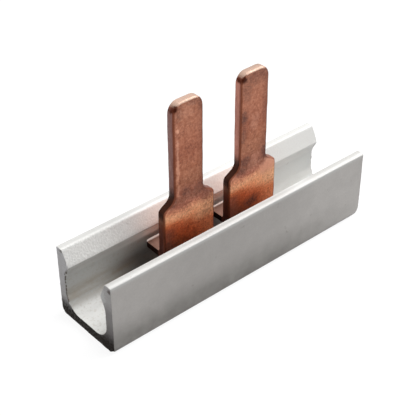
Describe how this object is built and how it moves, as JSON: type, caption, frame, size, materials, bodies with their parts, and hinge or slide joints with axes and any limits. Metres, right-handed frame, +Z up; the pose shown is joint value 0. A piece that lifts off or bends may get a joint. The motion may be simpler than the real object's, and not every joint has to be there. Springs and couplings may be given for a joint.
{
  "type": "terminal block",
  "caption": "Open light-grey insulating channel with turned-in lips, holding upright stamped copper contact pins that rise from broad shouldered blades.",
  "frame": {"origin": "centre of the underside of the profile", "axes": "+X along the profile towards the right contact, +Y across it towards the wall that the feet point to, +Z up along the pins"},
  "size_m": [0.0408, 0.0102, 0.0257],
  "materials": {
    "profile_plastic": "light grey extruded plastic, satin, with sawn ends",
    "contact_copper": "bare rolled copper with brown tarnish and bright sheared edges"
  },
  "bodies": {
    "root": {"insulating_profile": "profile_plastic", "contact_pin_left": "contact_copper", "contact_pin_right": "contact_copper"}
  },
  "joints": []
}
